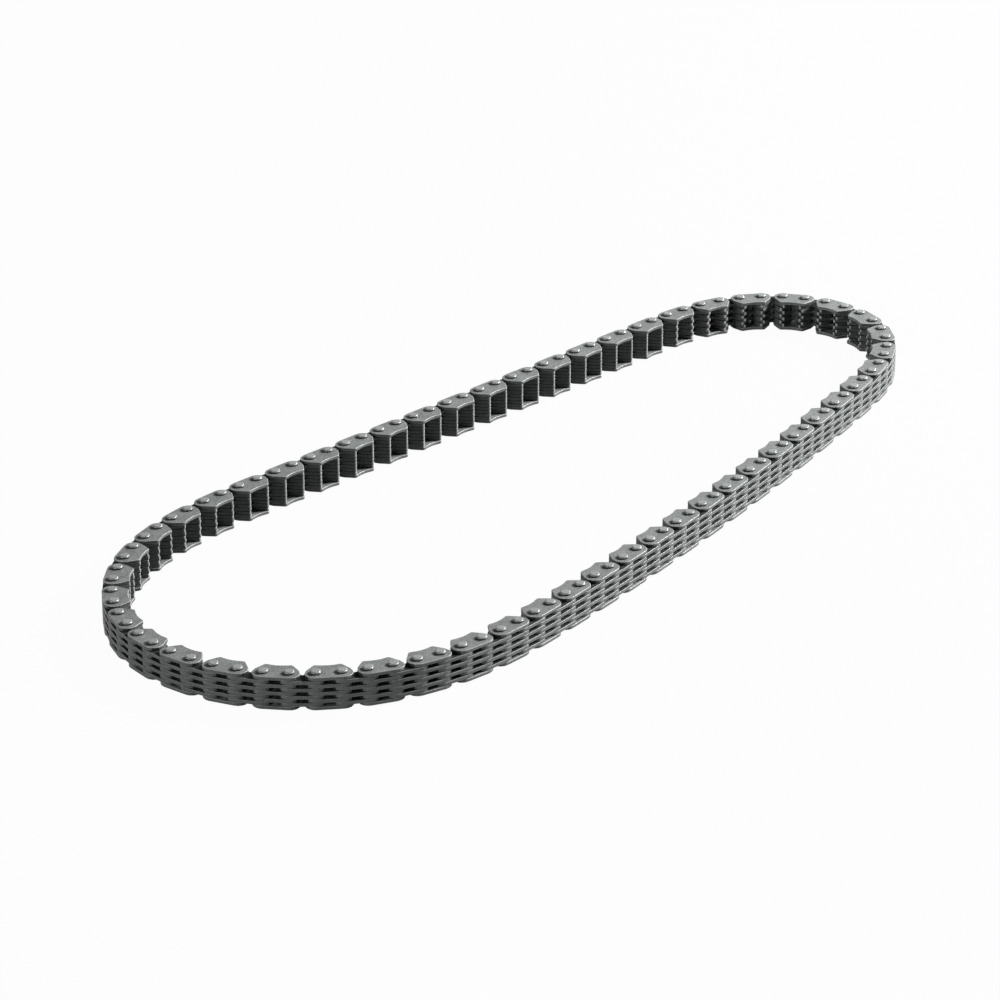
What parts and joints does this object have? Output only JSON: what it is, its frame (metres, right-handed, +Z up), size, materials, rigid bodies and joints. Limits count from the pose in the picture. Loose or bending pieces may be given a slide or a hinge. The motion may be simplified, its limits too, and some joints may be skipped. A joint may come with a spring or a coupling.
{
  "type": "silent chain",
  "caption": "Endless inverted-tooth drive chain: laced toothed steel link plates between guide plates on riveted pins, lying on its side with the teeth towards the inside of the loop.",
  "frame": {"origin": "centre of the loop's box, on the plane of the lower pin ends", "axes": "+X along the straight strand towards the wide end, +Z up along the pins"},
  "size_m": [0.286, 0.1124, 0.0102],
  "materials": {
    "link_steel": "tumbled, lightly oiled",
    "pin_steel": "ground, riveted ends"
  },
  "bodies": {
    "section_01": {"section_01": "link_steel"},
    "section_02": {"section_02": "link_steel"},
    "section_03": {"section_03": "link_steel"},
    "section_04": {"section_04": "link_steel"},
    "section_05": {"section_05": "link_steel"},
    "section_06": {"section_06": "link_steel"},
    "section_07": {"section_07": "link_steel"},
    "section_08": {"section_08": "link_steel"},
    "section_09": {"section_09": "link_steel"},
    "section_10": {"section_10": "link_steel"},
    "section_11": {"section_11": "link_steel"},
    "section_12": {"section_12": "link_steel"},
    "section_13": {"section_13": "link_steel"},
    "section_14": {"section_14": "link_steel"},
    "section_15": {"section_15": "link_steel"},
    "section_16": {"section_16": "link_steel"},
    "section_17": {"section_17": "link_steel"},
    "section_18": {"section_18": "link_steel"},
    "section_19": {"section_19": "link_steel"},
    "section_20": {"section_20": "link_steel"},
    "section_21": {"section_21": "link_steel"},
    "section_22": {"section_22": "link_steel"},
    "section_23": {"section_23_top_guide": "link_steel", "section_23_bottom_guide": "link_steel", "section_23_outer_plates": "link_steel", "section_23_inner_plates": "link_steel", "section_23_left_pin": "pin_steel", "section_23_right_pin": "pin_steel"},
    "section_24": {"section_24": "link_steel"},
    "section_25": {"section_25": "link_steel"},
    "section_26": {"section_26": "link_steel"},
    "section_27": {"section_27": "link_steel"},
    "section_28": {"section_28": "link_steel"},
    "section_29": {"section_29": "link_steel"},
    "section_30": {"section_30": "link_steel"},
    "section_31": {"section_31": "link_steel"},
    "section_32": {"section_32": "link_steel"},
    "section_33": {"section_33": "link_steel"},
    "section_34": {"section_34": "link_steel"},
    "section_35": {"section_35": "link_steel"},
    "section_36": {"section_36": "link_steel"},
    "section_37": {"section_37": "link_steel"},
    "section_38": {"section_38": "link_steel"},
    "section_39": {"section_39": "link_steel"},
    "section_40": {"section_40": "link_steel"},
    "section_41": {"section_41": "link_steel"},
    "section_42": {"section_42": "link_steel"},
    "section_43": {"section_43": "link_steel"},
    "section_44": {"section_44": "link_steel"},
    "section_45": {"section_45": "link_steel"},
    "section_46": {"section_46": "link_steel"},
    "section_47": {"section_47": "link_steel"},
    "section_48": {"section_48": "link_steel"},
    "section_49": {"section_49": "link_steel"},
    "section_50": {"section_50": "link_steel"},
    "section_51": {"section_51": "link_steel"},
    "section_52": {"section_52": "link_steel"}
  },
  "joints": [
    {"name": "pivot_23_24", "type": "hinge", "parent": "section_23", "child": "section_24", "pos_m": [0.001, 0.04248, 0.00508], "axis": [0, 0, 1], "range_deg": [-4.18, 4.18]},
    {"name": "pivot_24_25", "type": "hinge", "parent": "section_24", "child": "section_25", "pos_m": [-0.01145, 0.03997, 0.00508], "axis": [0, 0, 1], "range_deg": [-4.19, 4.19]},
    {"name": "pivot_25_26", "type": "hinge", "parent": "section_25", "child": "section_26", "pos_m": [-0.02387, 0.03731, 0.00508], "axis": [0, 0, 1], "range_deg": [-4.13, 4.13]},
    {"name": "pivot_26_27", "type": "hinge", "parent": "section_26", "child": "section_27", "pos_m": [-0.03625, 0.03451, 0.00508], "axis": [0, 0, 1], "range_deg": [-4.05, 4.05]},
    {"name": "pivot_27_28", "type": "hinge", "parent": "section_27", "child": "section_28", "pos_m": [-0.04861, 0.03156, 0.00508], "axis": [0, 0, 1], "range_deg": [-3.97, 3.97]},
    {"name": "pivot_28_29", "type": "hinge", "parent": "section_28", "child": "section_29", "pos_m": [-0.06092, 0.02847, 0.00508], "axis": [0, 0, 1], "range_deg": [-3.93, 3.93]},
    {"name": "pivot_29_30", "type": "hinge", "parent": "section_29", "child": "section_30", "pos_m": [-0.07321, 0.02523, 0.00508], "axis": [0, 0, 1], "range_deg": [-3.92, 3.92]},
    {"name": "pivot_30_31", "type": "hinge", "parent": "section_30", "child": "section_31", "pos_m": [-0.08545, 0.02185, 0.00508], "axis": [0, 0, 1], "range_deg": [-3.58, 3.58]},
    {"name": "pivot_31_32", "type": "hinge", "parent": "section_31", "child": "section_32", "pos_m": [-0.09765, 0.01833, 0.00508], "axis": [0, 0, 1], "range_deg": [-3.53, 3.53]},
    {"name": "pivot_32_33", "type": "hinge", "parent": "section_32", "child": "section_33", "pos_m": [-0.10978, 0.01458, 0.00508], "axis": [0, 0, 1], "range_deg": [-3.5, 3.5]},
    {"name": "pivot_33_34", "type": "hinge", "parent": "section_33", "child": "section_34", "pos_m": [-0.12138, 0.00945, 0.00508], "axis": [0, 0, 1], "range_deg": [-3.5, 3.5]},
    {"name": "pivot_34_35", "type": "hinge", "parent": "section_34", "child": "section_35", "pos_m": [-0.13138, 0.00167, 0.00508], "axis": [0, 0, 1], "range_deg": [-3.6, 3.6]},
    {"name": "pivot_35_36", "type": "hinge", "parent": "section_35", "child": "section_36", "pos_m": [-0.13822, -0.00896, 0.00508], "axis": [0, 0, 1], "range_deg": [-3.82, 3.82]},
    {"name": "pivot_36_37", "type": "hinge", "parent": "section_36", "child": "section_37", "pos_m": [-0.14039, -0.02141, 0.00508], "axis": [0, 0, 1], "range_deg": [-4.1, 4.1]},
    {"name": "pivot_37_38", "type": "hinge", "parent": "section_37", "child": "section_38", "pos_m": [-0.13725, -0.03364, 0.00508], "axis": [0, 0, 1], "range_deg": [-4.26, 4.26]},
    {"name": "pivot_38_39", "type": "hinge", "parent": "section_38", "child": "section_39", "pos_m": [-0.12943, -0.04356, 0.00508], "axis": [0, 0, 1], "range_deg": [-4.18, 4.18]},
    {"name": "pivot_39_40", "type": "hinge", "parent": "section_39", "child": "section_40", "pos_m": [-0.11852, -0.04997, 0.00508], "axis": [0, 0, 1], "range_deg": [-3.88, 3.88]},
    {"name": "pivot_40_41", "type": "hinge", "parent": "section_40", "child": "section_41", "pos_m": [-0.10619, -0.05292, 0.00508], "axis": [0, 0, 1], "range_deg": [-3.59, 3.59]},
    {"name": "pivot_41_42", "type": "hinge", "parent": "section_41", "child": "section_42", "pos_m": [-0.09351, -0.05356, 0.00508], "axis": [0, 0, 1], "range_deg": [-3.45, 3.45]},
    {"name": "pivot_42_43", "type": "hinge", "parent": "section_42", "child": "section_43", "pos_m": [-0.08081, -0.05356, 0.00508], "axis": [0, 0, 1], "range_deg": [-3.44, 3.44]},
    {"name": "pivot_43_44", "type": "hinge", "parent": "section_43", "child": "section_44", "pos_m": [-0.06811, -0.05356, 0.00508], "axis": [0, 0, 1], "range_deg": [-4.06, 4.06]},
    {"name": "pivot_44_45", "type": "hinge", "parent": "section_44", "child": "section_45", "pos_m": [-0.05541, -0.05356, 0.00508], "axis": [0, 0, 1], "range_deg": [-4.01, 4.01]},
    {"name": "pivot_45_46", "type": "hinge", "parent": "section_45", "child": "section_46", "pos_m": [-0.04271, -0.05356, 0.00508], "axis": [0, 0, 1], "range_deg": [-3.94, 3.94]},
    {"name": "pivot_46_47", "type": "hinge", "parent": "section_46", "child": "section_47", "pos_m": [-0.03001, -0.05356, 0.00508], "axis": [0, 0, 1], "range_deg": [-3.88, 3.88]},
    {"name": "pivot_47_48", "type": "hinge", "parent": "section_47", "child": "section_48", "pos_m": [-0.01731, -0.05356, 0.00508], "axis": [0, 0, 1], "range_deg": [-3.81, 3.81]},
    {"name": "pivot_48_49", "type": "hinge", "parent": "section_48", "child": "section_49", "pos_m": [-0.00461, -0.05356, 0.00508], "axis": [0, 0, 1], "range_deg": [-3.75, 3.75]},
    {"name": "pivot_49_50", "type": "hinge", "parent": "section_49", "child": "section_50", "pos_m": [0.00809, -0.05356, 0.00508], "axis": [0, 0, 1], "range_deg": [-3.7, 3.7]},
    {"name": "pivot_50_51", "type": "hinge", "parent": "section_50", "child": "section_51", "pos_m": [0.02079, -0.05356, 0.00508], "axis": [0, 0, 1], "range_deg": [-3.68, 3.68]},
    {"name": "pivot_51_52", "type": "hinge", "parent": "section_51", "child": "section_52", "pos_m": [0.03349, -0.05356, 0.00508], "axis": [0, 0, 1], "range_deg": [-3.69, 3.69]},
    {"name": "pivot_22_23", "type": "hinge", "parent": "section_23", "child": "section_22", "pos_m": [0.01348, 0.04484, 0.00508], "axis": [0, 0, 1], "range_deg": [-4.09, 4.09]},
    {"name": "pivot_21_22", "type": "hinge", "parent": "section_22", "child": "section_21", "pos_m": [0.02598, 0.04706, 0.00508], "axis": [0, 0, 1], "range_deg": [-3.88, 3.88]},
    {"name": "pivot_20_21", "type": "hinge", "parent": "section_21", "child": "section_20", "pos_m": [0.03851, 0.04913, 0.00508], "axis": [0, 0, 1], "range_deg": [-3.55, 3.55]},
    {"name": "pivot_19_20", "type": "hinge", "parent": "section_20", "child": "section_19", "pos_m": [0.05107, 0.05106, 0.00508], "axis": [0, 0, 1], "range_deg": [-3.12, 3.12]},
    {"name": "pivot_18_19", "type": "hinge", "parent": "section_19", "child": "section_18", "pos_m": [0.06366, 0.05273, 0.00508], "axis": [0, 0, 1], "range_deg": [-2.67, 2.67]},
    {"name": "pivot_17_18", "type": "hinge", "parent": "section_18", "child": "section_17", "pos_m": [0.07633, 0.05355, 0.00508], "axis": [0, 0, 1], "range_deg": [-2.36, 2.36]},
    {"name": "pivot_16_17", "type": "hinge", "parent": "section_17", "child": "section_16", "pos_m": [0.089, 0.05294, 0.00508], "axis": [0, 0, 1], "range_deg": [-5.01, 5.01]},
    {"name": "pivot_15_16", "type": "hinge", "parent": "section_16", "child": "section_15", "pos_m": [0.10143, 0.05039, 0.00508], "axis": [0, 0, 1], "range_deg": [-4.55, 4.55]},
    {"name": "pivot_14_15", "type": "hinge", "parent": "section_15", "child": "section_14", "pos_m": [0.11316, 0.04555, 0.00508], "axis": [0, 0, 1], "range_deg": [-3.95, 3.95]},
    {"name": "pivot_13_14", "type": "hinge", "parent": "section_14", "child": "section_13", "pos_m": [0.12357, 0.03831, 0.00508], "axis": [0, 0, 1], "range_deg": [-3.45, 3.45]},
    {"name": "pivot_12_13", "type": "hinge", "parent": "section_13", "child": "section_12", "pos_m": [0.13197, 0.02883, 0.00508], "axis": [0, 0, 1], "range_deg": [-3.2, 3.2]},
    {"name": "pivot_11_12", "type": "hinge", "parent": "section_12", "child": "section_11", "pos_m": [0.13773, 0.01753, 0.00508], "axis": [0, 0, 1], "range_deg": [-3.22, 3.22]},
    {"name": "pivot_10_11", "type": "hinge", "parent": "section_11", "child": "section_10", "pos_m": [0.14034, 0.00513, 0.00508], "axis": [0, 0, 1], "range_deg": [-3.45, 3.45]},
    {"name": "pivot_09_10", "type": "hinge", "parent": "section_10", "child": "section_09", "pos_m": [0.1396, -0.00752, 0.00508], "axis": [0, 0, 1], "range_deg": [-3.74, 3.74]},
    {"name": "pivot_08_09", "type": "hinge", "parent": "section_09", "child": "section_08", "pos_m": [0.13559, -0.01954, 0.00508], "axis": [0, 0, 1], "range_deg": [-3.92, 3.92]},
    {"name": "pivot_07_08", "type": "hinge", "parent": "section_08", "child": "section_07", "pos_m": [0.12869, -0.03017, 0.00508], "axis": [0, 0, 1], "range_deg": [-3.86, 3.86]},
    {"name": "pivot_06_07", "type": "hinge", "parent": "section_07", "child": "section_06", "pos_m": [0.11947, -0.03888, 0.00508], "axis": [0, 0, 1], "range_deg": [-3.58, 3.58]},
    {"name": "pivot_05_06", "type": "hinge", "parent": "section_06", "child": "section_05", "pos_m": [0.1086, -0.0454, 0.00508], "axis": [0, 0, 1], "range_deg": [-3.22, 3.22]},
    {"name": "pivot_04_05", "type": "hinge", "parent": "section_05", "child": "section_04", "pos_m": [0.09669, -0.04977, 0.00508], "axis": [0, 0, 1], "range_deg": [-2.98, 2.98]},
    {"name": "pivot_03_04", "type": "hinge", "parent": "section_04", "child": "section_03", "pos_m": [0.08424, -0.05227, 0.00508], "axis": [0, 0, 1], "range_deg": [-4.58, 4.58]},
    {"name": "pivot_02_03", "type": "hinge", "parent": "section_03", "child": "section_02", "pos_m": [0.07159, -0.05334, 0.00508], "axis": [0, 0, 1], "range_deg": [-4.38, 4.38]},
    {"name": "pivot_01_02", "type": "hinge", "parent": "section_02", "child": "section_01", "pos_m": [0.05889, -0.05356, 0.00508], "axis": [0, 0, 1], "range_deg": [-4.2, 4.2]}
  ],
  "couplings": [
    {"joint": "pivot_24_25", "follows": "pivot_23_24", "ratio": 1.0005},
    {"joint": "pivot_25_26", "follows": "pivot_23_24", "ratio": 0.98684},
    {"joint": "pivot_26_27", "follows": "pivot_23_24", "ratio": 0.96702},
    {"joint": "pivot_27_28", "follows": "pivot_23_24", "ratio": 0.94871},
    {"joint": "pivot_28_29", "follows": "pivot_23_24", "ratio": 0.93801},
    {"joint": "pivot_29_30", "follows": "pivot_23_24", "ratio": 0.93696},
    {"joint": "pivot_30_31", "follows": "pivot_23_24", "ratio": -0.85473},
    {"joint": "pivot_31_32", "follows": "pivot_23_24", "ratio": -0.84389},
    {"joint": "pivot_32_33", "follows": "pivot_23_24", "ratio": -0.83657},
    {"joint": "pivot_33_34", "follows": "pivot_23_24", "ratio": -0.83726},
    {"joint": "pivot_34_35", "follows": "pivot_23_24", "ratio": -0.85905},
    {"joint": "pivot_35_36", "follows": "pivot_23_24", "ratio": -0.91176},
    {"joint": "pivot_36_37", "follows": "pivot_23_24", "ratio": -0.97906},
    {"joint": "pivot_37_38", "follows": "pivot_23_24", "ratio": -1.019},
    {"joint": "pivot_38_39", "follows": "pivot_23_24", "ratio": -0.99793},
    {"joint": "pivot_39_40", "follows": "pivot_23_24", "ratio": -0.92778},
    {"joint": "pivot_40_41", "follows": "pivot_23_24", "ratio": -0.85769},
    {"joint": "pivot_41_42", "follows": "pivot_23_24", "ratio": -0.82545},
    {"joint": "pivot_42_43", "follows": "pivot_23_24", "ratio": -0.8227},
    {"joint": "pivot_43_44", "follows": "pivot_23_24", "ratio": 0.97076},
    {"joint": "pivot_44_45", "follows": "pivot_23_24", "ratio": 0.95806},
    {"joint": "pivot_45_46", "follows": "pivot_23_24", "ratio": 0.94258},
    {"joint": "pivot_46_47", "follows": "pivot_23_24", "ratio": 0.92651},
    {"joint": "pivot_47_48", "follows": "pivot_23_24", "ratio": 0.91052},
    {"joint": "pivot_48_49", "follows": "pivot_23_24", "ratio": 0.89587},
    {"joint": "pivot_49_50", "follows": "pivot_23_24", "ratio": 0.88491},
    {"joint": "pivot_50_51", "follows": "pivot_23_24", "ratio": 0.8802},
    {"joint": "pivot_51_52", "follows": "pivot_23_24", "ratio": 0.88211},
    {"joint": "pivot_22_23", "follows": "pivot_23_24", "ratio": -0.97778},
    {"joint": "pivot_21_22", "follows": "pivot_23_24", "ratio": -0.92813},
    {"joint": "pivot_20_21", "follows": "pivot_23_24", "ratio": -0.849},
    {"joint": "pivot_19_20", "follows": "pivot_23_24", "ratio": -0.74553},
    {"joint": "pivot_18_19", "follows": "pivot_23_24", "ratio": -0.63685},
    {"joint": "pivot_17_18", "follows": "pivot_23_24", "ratio": -0.56452},
    {"joint": "pivot_16_17", "follows": "pivot_23_24", "ratio": 1.196},
    {"joint": "pivot_15_16", "follows": "pivot_23_24", "ratio": 1.0883},
    {"joint": "pivot_14_15", "follows": "pivot_23_24", "ratio": 0.9445},
    {"joint": "pivot_13_14", "follows": "pivot_23_24", "ratio": 0.82497},
    {"joint": "pivot_12_13", "follows": "pivot_23_24", "ratio": 0.764},
    {"joint": "pivot_11_12", "follows": "pivot_23_24", "ratio": 0.76905},
    {"joint": "pivot_10_11", "follows": "pivot_23_24", "ratio": 0.82387},
    {"joint": "pivot_09_10", "follows": "pivot_23_24", "ratio": 0.89344},
    {"joint": "pivot_08_09", "follows": "pivot_23_24", "ratio": 0.93579},
    {"joint": "pivot_07_08", "follows": "pivot_23_24", "ratio": 0.92201},
    {"joint": "pivot_06_07", "follows": "pivot_23_24", "ratio": 0.8547},
    {"joint": "pivot_05_06", "follows": "pivot_23_24", "ratio": 0.76921},
    {"joint": "pivot_04_05", "follows": "pivot_23_24", "ratio": 0.71313},
    {"joint": "pivot_03_04", "follows": "pivot_23_24", "ratio": -1.0951},
    {"joint": "pivot_02_03", "follows": "pivot_23_24", "ratio": -1.0471},
    {"joint": "pivot_01_02", "follows": "pivot_23_24", "ratio": -1.004}
  ]
}
